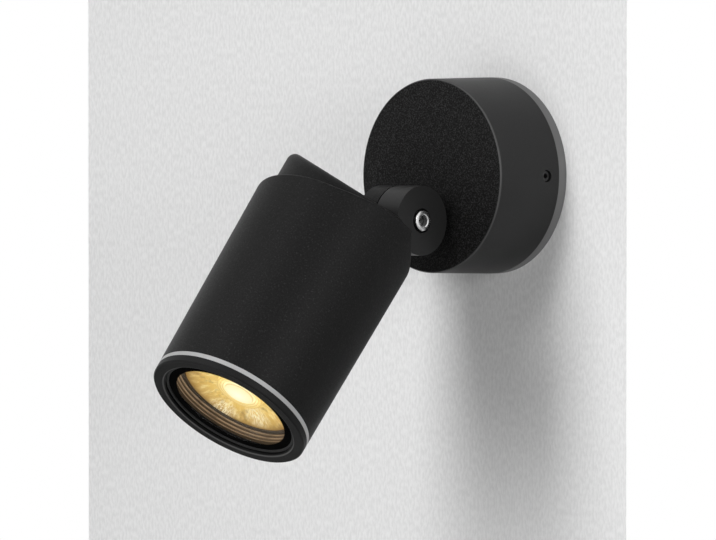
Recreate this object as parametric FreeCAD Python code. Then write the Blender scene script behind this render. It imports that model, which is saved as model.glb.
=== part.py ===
import FreeCAD, Part
import math
import os

# Pivoting spotlight wall light. Millimetres, +Z up, X to the right, wall plane at y = 0.
# The origin is the centre of the round wall plate on the wall plane; the light stands out along -Y.
# The head has a frame of its own: z runs along the head from the front face to the rear, x is the
# common X axis and y is the side of the head that faces down and back to the wall.

V = FreeCAD.Vector

# --- clearances -------------------------------------------------------------------------------
bearing_gap = 0.06          # radial play of a shaft that turns in its hole
face_gap = 0.10             # play between flat faces that slide on each other
moulding_gap = 0.30         # play between parts that drop into each other
thread_gap = 0.02           # screw against its tapped hole

# --- canopy (the cup on the wall) --------------------------------------------------------------
canopy_front_radius = 38.6
canopy_draft = 0.7          # the cup is this much wider at its wall end
canopy_depth = 36.7         # wall plane to front face
canopy_wall = 2.8
canopy_front_wall = 3.2
canopy_edge_radius = 0.7
gasket_thickness = 4.2
gasket_width = 2.7

# --- wall bracket ------------------------------------------------------------------------------
bracket_thickness = 2.0
bracket_bar_height = 16.0
bracket_ear_reach = 17.0
bracket_tongue_width = 24.0
bracket_tongue_top = 29.0
wall_slot_spacing = 50.0
wall_slot_width = 4.5
wall_slot_length = 10.0
side_screw_depth = 11.0     # side screws lie this far from the wall
side_screw_radius = 2.0
side_screw_length = 5.6
side_screw_sink = 0.9
side_hole_radius = 2.4
side_key_flats = 2.0        # hexagon key across flats

# --- electrical parts behind the canopy ----------------------------------------------------------
terminal_width = 20.0
terminal_height = 14.0
terminal_depth = 12.0
terminal_ways = 3
terminal_screw_radius = 1.5
lead_radius = 0.9
earth_boss_radius = 3.6
earth_boss_length = 7.0
earth_boss_x = -21.0
earth_boss_z = 12.0
earth_screw_radius = 1.75
earth_screw_head_radius = 3.4
earth_screw_head = 2.2

# --- swivel through the canopy -------------------------------------------------------------------
pivot_drop = 17.5           # the knuckle sits this far below the canopy's centre
stem_radius = 5.0
stem_bore_radius = 3.3
bundle_x = 1.3              # the leads' bundle keeps to the fixed lug's side
fixed_duct_radius = 2.1
stem_tail = 11.7            # stem length behind the canopy's front face
swivel_flange_radius = 8.6
swivel_flange = 1.6
swivel_boss_radius = 10.0
swivel_boss = 1.5
friction_washer = 0.8
stop_washer = 1.0
stem_nut_flats = 14.0
stem_nut_height = 3.5
stop_radius = 12.6          # stop pin and tab lie on this radius round the stem
stop_pin_radius = 1.3
stop_tab_width = 3.0
swivel_seal_radius = 7.2
seal_section = 1.2

# --- knuckle ---------------------------------------------------------------------------------------
pivot_reach = 16.5          # knuckle axis to the canopy's front face
lug_radius = 13.8
knuckle_half_width = 11.4
hinge_plane = -1.5          # where the two lugs meet, along X
hinge_seam = 0.6            # gap between the lugs, filled by washer and seal
duct_inner = 6.2
duct_outer = 11.8
duct_depth = 3.4
bolt_radius = 2.0
bolt_head_radius = 3.8
bolt_head_height = 2.2
bolt_key_flats = 2.5
bolt_recess_radius = 4.9
bolt_recess_depth = 2.6
bolt_washer = 0.8
nut_flats = 7.0
nut_height = 3.2
nut_pocket_radius = 4.9
nut_pocket_depth = 5.2

# --- head --------------------------------------------------------------------------------------------
tilt_from_wall = 39.16      # angle between the head as pictured and the head hung parallel to the wall
pivot_back = 116.1          # head front face to the knuckle axis, along the head
pivot_side = 27.2           # head axis to the knuckle axis, across the head
head_front_radius = 32.5
head_taper = 0.0171         # radius gained per millimetre towards the rear
bezel_height = 2.9
white_ring_height = 1.75
sleeve_rim_low = 90.8       # plain part of the rear rim
sleeve_rim_high = 96.6      # rear rim beside the knuckle
rim_ramp_start = -25.0
rim_scoop_radius = 27.2     # round cut-out about the knuckle axis
sleeve_bore_radius = 29.9
shoulder_front = 84.0
shoulder_thickness = 3.0
shoulder_bore_radius = 24.0
rim_edge_radius = 1.2

# --- rear housing ------------------------------------------------------------------------------------
housing_top = 109.5
housing_edge_radius = 4.0
facet_fall = 0.408          # slope of the slanted facet across the head, on the bolt's side
facet_rise = 0.266          # slope of the same facet towards the wall side
cavity_radius = 13.0
cavity_x = -3.0
cavity_y = -9.0
cavity_top = 98.0
duct_bore_radius = 2.4
housing_screw_ring = 27.0
housing_screw_angles = (-90.0, 15.0, 165.0)
small_screw_radius = 1.5
small_screw_head_radius = 2.6
small_screw_head = 1.8
housing_screw_reach = 6.0
rear_seal_radius = 24.7

# --- bezel, glass and baffle ---------------------------------------------------------------------------
bezel_inner_radius = 28.4
bezel_lip_radius = 27.6
bezel_lip = 1.6
bezel_spigot_wall = 1.0
bezel_spigot_reach = 12.0
glass_radius = 28.3
glass_thickness = 3.0
glass_seal = 0.5
baffle_rib_count = 4
baffle_rib_pitch = 1.6
baffle_rib_height = 0.9
baffle_inner_radius = 25.5

# --- lamp and lampholder -----------------------------------------------------------------------------
lamp_face = 8.6             # head front face to the lamp's face
lamp_radius = 25.0
lamp_rim = 2.2
lamp_lens_depth = 3.2
lamp_cone_length = 34.0
lamp_cone_radius = 14.5
lamp_base_radius = 12.2
lamp_length = 54.0
pin_spacing = 10.0
pin_radius = 1.2
pin_head_radius = 2.4
pin_length = 6.5
pin_head = 2.0
holder_radius = 13.5
holder_length = 13.4
holder_slot_radius = 2.8
strap_thickness = 1.2
strap_width = 12.0
strap_angle = -45.0
strap_post_ring = 27.0
strap_post_radius = 2.2

# --- worked out from the sizes above -------------------------------------------------------------------
canopy_rear_radius = canopy_front_radius + canopy_draft
canopy_floor = canopy_depth - canopy_front_wall
knuckle_depth = canopy_depth + pivot_reach
sleeve_front = bezel_height + white_ring_height
shoulder_rear = shoulder_front + shoulder_thickness
housing_radius = sleeve_bore_radius - moulding_gap
fixed_lug_left = hinge_plane + hinge_seam / 2
moving_lug_right = hinge_plane - hinge_seam / 2
strap_rear = shoulder_front
holder_front = lamp_face + lamp_length + face_gap
holder_rear = holder_front + holder_length
glass_front = bezel_lip + glass_seal
glass_rear = glass_front + glass_thickness

canopy_frame = FreeCAD.Placement(V(0, 0, 0), FreeCAD.Rotation(V(1, 0, 0), 90))
head_turn = FreeCAD.Rotation(V(1, 0, 0), -tilt_from_wall)
pivot_point = V(0, -knuckle_depth, -pivot_drop)
head_frame = FreeCAD.Placement(pivot_point - head_turn.multVec(V(0, pivot_side, pivot_back)), head_turn)


# --- shape helpers ------------------------------------------------------------------------------------
def turned(outline):
    """Solid of revolution about Z from (radius, height) points."""
    corners = [V(radius, 0, height) for radius, height in outline]
    face = Part.Face(Part.makePolygon(corners + corners[:1]))
    return face.revolve(V(0, 0, 0), V(0, 0, 1), 360)


def ring(outer, inner, low, high):
    return turned([(inner, low), (outer, low), (outer, high), (inner, high)])


def rod(radius, start, end):
    """Round bar between two points."""
    along = end - start
    return Part.makeCylinder(radius, along.Length, start, along)


def block(low, high):
    size = high - low
    return Part.makeBox(size.x, size.y, size.z, low)


def hexagon(flats, height, start, along):
    """Hexagonal prism centred on an axis."""
    corner = flats / math.sqrt(3)
    turn = FreeCAD.Rotation(V(0, 0, 1), along)
    points = []
    for step in range(7):
        angle = math.radians(60 * step + 30)
        points.append(start + turn.multVec(V(corner * math.cos(angle), corner * math.sin(angle), 0)))
    direction = V(along).normalize()
    return Part.Face(Part.makePolygon(points)).extrude(direction * height)


def on_circle(radius, degrees, height):
    angle = math.radians(degrees)
    return V(radius * math.cos(angle), radius * math.sin(angle), height)


def extruded(face_wire, along):
    return Part.Face(face_wire).extrude(along)


def lead(points, bend):
    """Insulated conductor: straight runs joined by arcs."""
    edges = []
    start = points[0]
    for index in range(1, len(points) - 1):
        corner = points[index]
        before = (points[index - 1] - corner).normalize()
        after = (points[index + 1] - corner).normalize()
        half_turn = before.getAngle(after) / 2
        setback = bend / math.tan(half_turn)
        entry = corner + before * setback
        leave = corner + after * setback
        bisector = (before + after).normalize()
        middle = corner + bisector * (bend / math.sin(half_turn) - bend)
        edges.append(Part.LineSegment(start, entry).toShape())
        edges.append(Part.Arc(entry, middle, leave).toShape())
        start = leave
    edges.append(Part.LineSegment(start, points[-1]).toShape())
    path = Part.Wire(edges)
    section = Part.Wire([Part.Circle(points[0], points[1] - points[0], lead_radius).toShape()])
    return path.makePipeShell([section], True, True)


def in_canopy(shape):
    shape.Placement = canopy_frame.multiply(shape.Placement)
    return shape


def in_head(shape):
    shape.Placement = head_frame.multiply(shape.Placement)
    return shape


def save(shape, name):
    shape.exportStep(os.path.join("parts", name + ".step"))


# --- wall base -----------------------------------------------------------------------------------------
def canopy_radius_at(depth):
    share = (canopy_depth - depth) / (canopy_depth - gasket_thickness)
    return canopy_front_radius + canopy_draft * share


def wall_gasket():
    return ring(canopy_rear_radius, canopy_rear_radius - gasket_width, 0, gasket_thickness)


def canopy():
    """Cup with a drafted side wall, a boss for the swivel stem and a boss for the earth screw."""
    rounding = canopy_edge_radius * (1 - math.sqrt(0.5))
    outline = [
        (canopy_rear_radius, gasket_thickness),
        (canopy_front_radius, canopy_depth - canopy_edge_radius),
        (canopy_front_radius - rounding, canopy_depth - rounding),
        (canopy_front_radius - canopy_edge_radius, canopy_depth),
        (0, canopy_depth),
        (0, canopy_floor),
        (canopy_front_radius - canopy_wall, canopy_floor),
        (canopy_rear_radius - canopy_wall, gasket_thickness),
    ]
    cup = turned(outline)
    stem_axis = V(0, -pivot_drop, 0)
    boss_back = canopy_floor - swivel_boss
    cup = cup.fuse(Part.makeCylinder(swivel_boss_radius, swivel_boss, stem_axis + V(0, 0, boss_back)))
    pin_back = boss_back - friction_washer - stop_washer
    pin_length_here = canopy_floor - pin_back
    cup = cup.fuse(Part.makeCylinder(stop_pin_radius, pin_length_here,
                                     stem_axis + V(0, stop_radius, pin_back)))
    earth_back = canopy_floor - earth_boss_length
    cup = cup.fuse(Part.makeCylinder(earth_boss_radius, earth_boss_length,
                                     V(earth_boss_x, earth_boss_z, earth_back)))
    cup = cup.cut(Part.makeCylinder(earth_screw_radius + thread_gap, earth_boss_length - 1,
                                    V(earth_boss_x, earth_boss_z, earth_back)))
    cup = cup.cut(Part.makeCylinder(stem_radius + bearing_gap, canopy_depth, stem_axis))
    side_holes = rod(side_hole_radius, V(-canopy_rear_radius - 1, 0, side_screw_depth),
                     V(canopy_rear_radius + 1, 0, side_screw_depth))
    return cup.cut(side_holes).removeSplitter()


def ear_outer():
    """Outer face of the bracket's ears, just inside the canopy."""
    return canopy_front_radius - canopy_wall - 2 * moulding_gap


def slot(centre_x):
    half_run = (wall_slot_length - wall_slot_width) / 2
    radius = wall_slot_width / 2
    shape = block(V(centre_x - half_run, -radius, -1), V(centre_x + half_run, radius, bracket_thickness + 1))
    for side in (-1, 1):
        end = V(centre_x + side * half_run, 0, -1)
        shape = shape.fuse(Part.makeCylinder(radius, bracket_thickness + 2, end))
    return shape


def wall_bracket():
    """Pressed strap with two slots for wall screws, two bent ears and a tongue for the terminals."""
    reach = ear_outer()
    half_height = bracket_bar_height / 2
    strap = block(V(-reach, -half_height, 0), V(reach, half_height, bracket_thickness))
    for side in (-1, 1):
        inner = side * (reach - bracket_thickness)
        low_x = min(side * reach, inner)
        strap = strap.fuse(block(V(low_x, -half_height, 0),
                                 V(low_x + bracket_thickness, half_height, bracket_ear_reach)))
        strap = strap.cut(slot(side * wall_slot_spacing / 2))
    half_tongue = bracket_tongue_width / 2
    strap = strap.fuse(block(V(-half_tongue, 0, 0), V(half_tongue, bracket_tongue_top, bracket_thickness)))
    strap = strap.cut(rod(side_screw_radius + thread_gap, V(-reach - 1, 0, side_screw_depth),
                          V(reach + 1, 0, side_screw_depth)))
    return strap.removeSplitter()


def side_screws():
    """Grub screws that hold the canopy on the bracket's ears."""
    screws = []
    outer = canopy_radius_at(side_screw_depth) - side_screw_sink
    for side in (-1, 1):
        tip = V(side * (outer - side_screw_length), 0, side_screw_depth)
        head = V(side * outer, 0, side_screw_depth)
        screw = rod(side_screw_radius, tip, head)
        socket = hexagon(side_key_flats, side_screw_length / 2, head, tip - head)
        screws.append(screw.cut(socket))
    return Part.makeCompound(screws)


def terminal_low():
    return bracket_bar_height / 2 + 3.0


def terminal_x(way):
    return (way - (terminal_ways - 1) / 2) * terminal_width / terminal_ways


def terminal_block():
    low = terminal_low()
    body = block(V(-terminal_width / 2, low, bracket_thickness),
                 V(terminal_width / 2, low + terminal_height, bracket_thickness + terminal_depth))
    middle = bracket_thickness + terminal_depth / 2
    for way in range(terminal_ways):
        x = terminal_x(way)
        body = body.cut(rod(lead_radius + 2 * moulding_gap, V(x, low - 1, middle),
                            V(x, low + terminal_height + 1, middle)))
        for share in (0.25, 0.75):
            z = low + terminal_height * share
            body = body.cut(rod(terminal_screw_radius + thread_gap, V(x, z, middle),
                                V(x, z, bracket_thickness + terminal_depth + 1)))
    return body


def terminal_screws():
    screws = []
    top = bracket_thickness + terminal_depth
    for way in range(terminal_ways):
        for share in (0.25, 0.75):
            z = terminal_low() + terminal_height * share
            foot = V(terminal_x(way), z, top - terminal_depth / 4)
            screws.append(rod(terminal_screw_radius, foot, V(terminal_x(way), z, top - 0.6)))
    return Part.makeCompound(screws)


def stem_end():
    return canopy_depth - stem_tail


def bundle_place(way, depth):
    """Centre of one conductor where the three run together through the stem."""
    place = on_circle((lead_radius + thread_gap) * 2 / math.sqrt(3), 210 - 120 * way, depth)
    return place + V(bundle_x, -pivot_drop, 0)


def supply_leads():
    """Conductors from the terminals round the bar to the end of the hollow stem."""
    middle = bracket_thickness + terminal_depth / 2
    wires = []
    for way in range(terminal_ways):
        x = terminal_x(way)
        points = [
            V(x, terminal_low() + 3.0, middle),
            V(x, terminal_low() - 6.0, middle),
            bundle_place(way, middle - 2.0),
            bundle_place(way, stem_end() - moulding_gap),
        ]
        wires.append(lead(points, 4.0))
    return Part.makeCompound(wires)


def earth_screw():
    seat = canopy_floor - earth_boss_length
    centre = V(earth_boss_x, earth_boss_z, 0)
    shank = rod(earth_screw_radius, centre + V(0, 0, seat), centre + V(0, 0, seat + earth_boss_length - 2))
    head = rod(earth_screw_head_radius, centre + V(0, 0, seat - earth_screw_head), centre + V(0, 0, seat))
    cross = block(centre + V(-earth_screw_head_radius, -0.5, seat - earth_screw_head - 1),
                  centre + V(earth_screw_head_radius, 0.5, seat - earth_screw_head / 2))
    return shank.fuse(head).cut(cross).removeSplitter()


# --- swivel arm ----------------------------------------------------------------------------------------
def swivel_arm():
    """Fixed lug of the knuckle, cast with its flange and the hollow stem that goes through the canopy."""
    centre = pivot_point
    lug = rod(lug_radius, V(fixed_lug_left, centre.y, centre.z), V(knuckle_half_width, centre.y, centre.z))
    flange_front = canopy_depth + face_gap + swivel_flange
    stem_axis = V(0, 0, -pivot_drop)
    flange = rod(swivel_flange_radius, stem_axis + V(0, -flange_front, 0),
                 stem_axis + V(0, -canopy_depth - face_gap, 0))
    foot_width = swivel_flange_radius * 0.8
    foot = block(V(fixed_lug_left, centre.y, -pivot_drop - foot_width),
                 V(foot_width, -flange_front + swivel_flange / 2, -pivot_drop + foot_width))
    stem = rod(stem_radius, stem_axis + V(0, -flange_front, 0), stem_axis + V(0, -stem_end(), 0))
    arm = lug.fuse([foot, flange, stem])
    duct_end = centre.y + (duct_inner + duct_outer) / 2
    arm = arm.cut(rod(stem_bore_radius, stem_axis + V(0, -stem_end() + 1, 0), stem_axis + V(0, -canopy_depth, 0)))
    arm = arm.cut(rod(fixed_duct_radius, stem_axis + V(bundle_x, -canopy_depth + 1, 0),
                      stem_axis + V(bundle_x, duct_end, 0)))
    groove = axial_ring(duct_outer, duct_inner, fixed_lug_left - 1, fixed_lug_left + duct_depth, centre)
    recess_floor = knuckle_half_width - bolt_recess_depth
    recess = rod(bolt_recess_radius, V(recess_floor, centre.y, centre.z),
                 V(knuckle_half_width + 1, centre.y, centre.z))
    bore = rod(bolt_radius + bearing_gap, V(fixed_lug_left - 1, centre.y, centre.z),
               V(knuckle_half_width, centre.y, centre.z))
    seal_groove = ring(swivel_seal_radius + seal_section / 2 + thread_gap,
                       swivel_seal_radius - seal_section / 2 - thread_gap, 0, seal_section - face_gap)
    seal_groove.Placement = FreeCAD.Placement(V(0, -canopy_depth - face_gap, -pivot_drop),
                                              FreeCAD.Rotation(V(1, 0, 0), 90))
    return arm.cut(groove).cut(recess).cut(bore).cut(seal_groove).removeSplitter()


def axial_ring(outer, inner, left, right, centre):
    """Ring about an X-parallel axis through a point."""
    tube = rod(outer, V(left, centre.y, centre.z), V(right, centre.y, centre.z))
    return tube.cut(rod(inner, V(left - 1, centre.y, centre.z), V(right + 1, centre.y, centre.z)))


def about_stem(outer, inner, low, high):
    """Ring about the stem, between two depths from the wall."""
    shape = ring(outer, inner, low, high)
    shape.translate(V(0, -pivot_drop, 0))
    return shape


def washer_depth():
    """Depth of the friction washer's canopy side."""
    return canopy_floor - swivel_boss - face_gap


def stem_washer():
    high = washer_depth()
    return about_stem(swivel_boss_radius - 1, stem_radius + thread_gap, high - friction_washer, high)


def stop_plate():
    """Keyed washer whose tab meets the canopy's stop pin at the end of the swivel."""
    high = washer_depth() - friction_washer
    plate = about_stem(swivel_boss_radius - 1.5, stem_radius + thread_gap, high - stop_washer, high)
    tab = block(V(-stop_tab_width / 2, -pivot_drop - stop_radius - stop_pin_radius, high - stop_washer),
                V(stop_tab_width / 2, -pivot_drop - stem_radius - 1, high))
    return plate.fuse(tab).removeSplitter()


def stem_nut():
    high = washer_depth() - friction_washer - stop_washer
    nut = hexagon(stem_nut_flats, stem_nut_height, V(0, -pivot_drop, high), V(0, 0, -1))
    return nut.cut(Part.makeCylinder(stem_radius + thread_gap, canopy_depth, V(0, -pivot_drop, 0)))


def swivel_seal():
    low = canopy_depth + thread_gap
    return about_stem(swivel_seal_radius + seal_section / 2, swivel_seal_radius - seal_section / 2,
                      low, low + seal_section - thread_gap)


def stem_leads():
    """Conductors through the stem into the fixed lug's ring duct."""
    end = knuckle_depth - duct_outer + 2
    return Part.makeCompound([rod(lead_radius, bundle_place(way, stem_end() + moulding_gap), bundle_place(way, end))
                              for way in range(terminal_ways)])


def pivot_bolt():
    """Button-head socket screw through both lugs."""
    centre = pivot_point
    seat = knuckle_half_width - bolt_recess_depth
    tip = -knuckle_half_width + 0.6
    shank = rod(bolt_radius, V(tip, centre.y, centre.z), V(seat, centre.y, centre.z))
    head = turned([
        (0, 0),
        (bolt_head_radius, 0),
        (bolt_head_radius, bolt_head_height * 0.35),
        (bolt_head_radius * 0.86, bolt_head_height * 0.72),
        (bolt_head_radius * 0.58, bolt_head_height),
        (0, bolt_head_height),
    ])
    head.Placement = FreeCAD.Placement(V(seat, centre.y, centre.z), FreeCAD.Rotation(V(0, 1, 0), 90))
    top = V(seat + bolt_head_height, centre.y, centre.z)
    socket = hexagon(bolt_key_flats, bolt_head_height * 0.75, top, V(-1, 0, 0))
    return shank.fuse(head).cut(socket).removeSplitter()


def hinge_washer():
    right = fixed_lug_left
    return axial_ring(duct_inner - moulding_gap, bolt_radius + bearing_gap, moving_lug_right + face_gap,
                      right, pivot_point)


def hinge_seal():
    return axial_ring(lug_radius - 0.5, duct_outer + moulding_gap, moving_lug_right + face_gap,
                      fixed_lug_left, pivot_point)


def nut_seat():
    return -knuckle_half_width + nut_pocket_depth


def spring_washer():
    right = nut_seat() - face_gap
    return axial_ring(nut_pocket_radius - moulding_gap, bolt_radius + thread_gap, right - bolt_washer,
                      right, pivot_point)


def pivot_nut():
    right = nut_seat() - face_gap - bolt_washer
    centre = V(right, pivot_point.y, pivot_point.z)
    nut = hexagon(nut_flats, nut_height, centre, V(-1, 0, 0))
    return nut.cut(rod(bolt_radius + thread_gap, centre + V(1, 0, 0), centre - V(nut_height + 1, 0, 0)))


# --- head ----------------------------------------------------------------------------------------------
def head_radius_at(height):
    return head_front_radius + head_taper * height


def rim_cutter():
    """Everything behind the sleeve's rear rim: flat, a ramp, then a round scoop about the knuckle."""
    half = 2 * head_front_radius
    scoop_start = pivot_side - math.sqrt(rim_scoop_radius ** 2 - (pivot_back - sleeve_rim_high) ** 2)
    scoop_end = half
    low = pivot_back - rim_scoop_radius
    top = pivot_back + rim_scoop_radius
    corner = V(-half, scoop_start, sleeve_rim_high)
    bottom = V(-half, pivot_side, low)
    side_height = pivot_back - math.sqrt(rim_scoop_radius ** 2 - (head_front_radius * 1.2 - pivot_side) ** 2)
    side = V(-half, head_front_radius * 1.2, side_height)
    edges = [
        Part.LineSegment(V(-half, -half, sleeve_rim_low), V(-half, rim_ramp_start, sleeve_rim_low)),
        Part.LineSegment(V(-half, rim_ramp_start, sleeve_rim_low), corner),
        Part.Arc(corner, bottom, side),
        Part.LineSegment(side, V(-half, scoop_end, side_height)),
        Part.LineSegment(V(-half, scoop_end, side_height), V(-half, scoop_end, top)),
        Part.LineSegment(V(-half, scoop_end, top), V(-half, -half, top)),
        Part.LineSegment(V(-half, -half, top), V(-half, -half, sleeve_rim_low)),
    ]
    wire = Part.Wire([edge.toShape() for edge in edges])
    return extruded(wire, V(2 * half, 0, 0))


def on_outer_rim(edge):
    """True for the edges where the drafted outside meets the rear rim."""
    middle = edge.valueAt((edge.FirstParameter + edge.LastParameter) / 2)
    off_surface = math.hypot(middle.x, middle.y) - head_radius_at(middle.z)
    return abs(off_surface) < 0.01 and middle.z > shoulder_rear


def head_sleeve():
    """Drafted barrel with an inner shoulder that carries the lampholder and the rear housing."""
    rear = sleeve_rim_high + 1
    outline = [
        (sleeve_bore_radius, sleeve_front),
        (head_radius_at(sleeve_front), sleeve_front),
        (head_radius_at(rear), rear),
        (sleeve_bore_radius, rear),
        (sleeve_bore_radius, shoulder_rear),
        (shoulder_bore_radius, shoulder_rear),
        (shoulder_bore_radius, shoulder_front),
        (sleeve_bore_radius, shoulder_front),
    ]
    barrel = turned(outline).cut(rim_cutter())
    barrel = barrel.makeFillet(rim_edge_radius, [edge for edge in barrel.Edges if on_outer_rim(edge)])
    for degrees in housing_screw_angles:
        start = on_circle(housing_screw_ring, degrees, shoulder_front - 1)
        barrel = barrel.cut(rod(small_screw_radius + thread_gap, start, start + V(0, 0, shoulder_thickness + 2)))
    for degrees in (strap_angle, strap_angle + 180):
        start = on_circle(strap_post_ring, degrees, shoulder_front - 1)
        barrel = barrel.cut(rod(small_screw_radius + thread_gap, start, start + V(0, 0, shoulder_thickness)))
    return barrel


def facet_cutter():
    """Half space above the slanted facet on the bolt's side of the housing."""
    normal = V(facet_fall, -facet_rise, 1)
    size = 6 * head_front_radius
    slab = Part.makeBox(size, size, size, V(-size / 2, -size / 2, 0))
    slab.Placement = FreeCAD.Placement(V(0, 0, housing_top), FreeCAD.Rotation(V(0, 0, 1), normal))
    return slab


def rear_housing():
    """Rear body of the head with the moving lug of the knuckle."""
    rounding = housing_edge_radius * (1 - math.sqrt(0.5))
    outline = [
        (0, shoulder_rear),
        (housing_radius, shoulder_rear),
        (housing_radius, housing_top - housing_edge_radius),
        (housing_radius - rounding * 0.26, housing_top - housing_edge_radius * 0.62),
        (housing_radius - rounding, housing_top - rounding),
        (housing_radius - housing_edge_radius * 0.62, housing_top - rounding * 0.26),
        (housing_radius - housing_edge_radius, housing_top),
        (0, housing_top),
    ]
    body = turned(outline).cut(facet_cutter())
    axis = V(0, pivot_side, pivot_back)
    far = 2 * head_front_radius
    for left, right in ((-far, -knuckle_half_width), (moving_lug_right, far)):
        body = body.cut(rod(rim_scoop_radius, V(left, axis.y, axis.z), V(right, axis.y, axis.z)))
    body = body.fuse(rod(lug_radius, V(-knuckle_half_width, axis.y, axis.z),
                         V(moving_lug_right, axis.y, axis.z)))
    groove = axial_ring(duct_outer, duct_inner, moving_lug_right - duct_depth, moving_lug_right + 1, axis)
    bore = rod(bolt_radius + bearing_gap, V(-knuckle_half_width - 1, axis.y, axis.z), V(1, axis.y, axis.z))
    pocket = rod(nut_pocket_radius, V(-knuckle_half_width - 1, axis.y, axis.z), V(nut_seat(), axis.y, axis.z))
    cavity = Part.makeCylinder(cavity_radius, cavity_top - shoulder_rear,
                               V(cavity_x, cavity_y, shoulder_rear))
    middle = (moving_lug_right - knuckle_half_width) / 2
    duct_ring = (duct_inner + duct_outer) / 2
    duct_mouth = V(middle, pivot_side - duct_ring * 0.8, pivot_back - duct_ring * 0.6)
    duct = rod(duct_bore_radius, V(middle, cavity_y + cavity_radius / 2, cavity_top - 2), duct_mouth)
    body = body.cut(groove).cut(bore).cut(pocket).cut(cavity).cut(duct)
    for degrees in housing_screw_angles:
        start = on_circle(housing_screw_ring, degrees, shoulder_rear)
        body = body.cut(rod(small_screw_radius + thread_gap, start, start + V(0, 0, housing_screw_reach)))
    seal_groove = ring(rear_seal_radius + seal_section / 2 + thread_gap,
                       rear_seal_radius - seal_section / 2 - thread_gap,
                       shoulder_rear, shoulder_rear + seal_section)
    return body.cut(seal_groove).removeSplitter()


def rear_seal():
    return ring(rear_seal_radius + seal_section / 2, rear_seal_radius - seal_section / 2,
                shoulder_rear, shoulder_rear + seal_section)


def headed_screw(seat, reach):
    """Small pan-head screw seated at a point and running along +Z."""
    shank = rod(small_screw_radius, seat, seat + V(0, 0, reach))
    head = rod(small_screw_head_radius, seat - V(0, 0, small_screw_head), seat)
    return shank.fuse(head).removeSplitter()


def housing_screws():
    reach = shoulder_thickness + housing_screw_reach - 1
    return Part.makeCompound([headed_screw(on_circle(housing_screw_ring, degrees, shoulder_front), reach)
                              for degrees in housing_screw_angles])


def strap_front():
    return holder_rear


def holder_strap():
    """Flat strap with two posts that stand on the sleeve's shoulder and carry the lampholder."""
    rear = strap_front() + strap_thickness
    strap = block(V(-strap_post_ring, -strap_width / 2, strap_front()), V(strap_post_ring, strap_width / 2, rear))
    strap = strap.common(Part.makeCylinder(sleeve_bore_radius - 2 * moulding_gap, rear))
    strap.rotate(V(0, 0, 0), V(0, 0, 1), strap_angle)
    for degrees in (strap_angle, strap_angle + 180):
        foot = on_circle(strap_post_ring, degrees, strap_front())
        top = on_circle(strap_post_ring, degrees, strap_rear)
        strap = strap.fuse(rod(strap_post_radius, foot, top))
    for degrees in (strap_angle, strap_angle + 180):
        foot = on_circle(strap_post_ring, degrees, strap_front() - 1)
        top = on_circle(strap_post_ring, degrees, strap_rear + 1)
        strap = strap.cut(rod(small_screw_radius + thread_gap, foot, top))
    strap = strap.cut(Part.makeCylinder(2 * lead_radius + 2, strap_thickness + 2, V(0, 0, strap_front() - 1)))
    return strap.removeSplitter()


def strap_screws():
    reach = strap_rear - strap_front() + shoulder_thickness - 1
    return Part.makeCompound([headed_screw(on_circle(strap_post_ring, degrees, strap_front()), reach)
                              for degrees in (strap_angle, strap_angle + 180)])


def pin_places():
    return [V(side * pin_spacing / 2, 0, 0) for side in (-1, 1)]


def lampholder():
    """Ceramic puck with two holes for the lamp's pins."""
    body = Part.makeCylinder(holder_radius, holder_length, V(0, 0, holder_front))
    for place in pin_places():
        depth = pin_length + 2 * moulding_gap
        body = body.cut(Part.makeCylinder(holder_slot_radius, depth, place + V(0, 0, holder_front)))
    return body


def lamp_body():
    """Reflector lamp: rim, tapering cone and straight base."""
    face = lamp_face
    outline = [
        (0, face + lamp_lens_depth),
        (lamp_radius - 1.6, face + lamp_lens_depth),
        (lamp_radius - 1.2, face),
        (lamp_radius, face),
        (lamp_radius, face + lamp_rim),
        (lamp_radius - 1.4, face + lamp_rim + 5),
        (lamp_cone_radius, face + lamp_cone_length),
        (lamp_base_radius, face + lamp_cone_length + 3),
        (lamp_base_radius, face + lamp_length),
        (0, face + lamp_length),
    ]
    return turned(outline)


def lamp_optic():
    """Reflector and lens disc that fills the lamp's mouth."""
    outer = lamp_radius - 1.6 - thread_gap * 5
    seat = lamp_face + lamp_lens_depth
    outline = [
        (0, seat),
        (outer, seat),
        (outer, lamp_face + 0.4),
        (outer * 0.93, lamp_face + 0.4),
        (outer * 0.42, seat - 1.0),
        (outer * 0.25, seat - 1.6),
        (0, seat - 1.8),
    ]
    return turned(outline)


def lamp_pins():
    pins = []
    start = lamp_face + lamp_length
    for place in pin_places():
        stalk = Part.makeCylinder(pin_radius, pin_length, place + V(0, 0, start))
        knob = Part.makeCylinder(pin_head_radius, pin_head, place + V(0, 0, start + pin_length - pin_head))
        pins.append(stalk.fuse(knob).removeSplitter())
    return Part.makeCompound(pins)


def head_leads():
    """Two conductors from the lampholder to the housing's cavity."""
    wires = []
    for side in (-1, 1):
        x = side * (lead_radius + thread_gap)
        points = [
            V(x, 0, holder_rear),
            V(x, 0, shoulder_front),
            V(cavity_x + x, cavity_y, cavity_top - 8),
            V(cavity_x + x, cavity_y, cavity_top),
        ]
        wires.append(lead(points, 3.0))
    return Part.makeCompound(wires)


# --- bezel ---------------------------------------------------------------------------------------------
def bezel_spigot_radius():
    return sleeve_bore_radius - moulding_gap


def bezel_ring():
    """Front ring: flat face, lip over the glass and a spigot that screws into the sleeve."""
    spigot = bezel_spigot_radius()
    inside = spigot - bezel_spigot_wall
    edge = 0.5
    return turned([
        (bezel_inner_radius, 0),
        (head_front_radius - edge, 0),
        (head_front_radius, edge),
        (head_radius_at(bezel_height), bezel_height),
        (spigot, bezel_height),
        (spigot, bezel_spigot_reach),
        (inside, bezel_spigot_reach),
        (inside, bezel_lip),
        (bezel_lip_radius, bezel_lip),
        (bezel_lip_radius, bezel_lip / 2),
    ])


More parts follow.
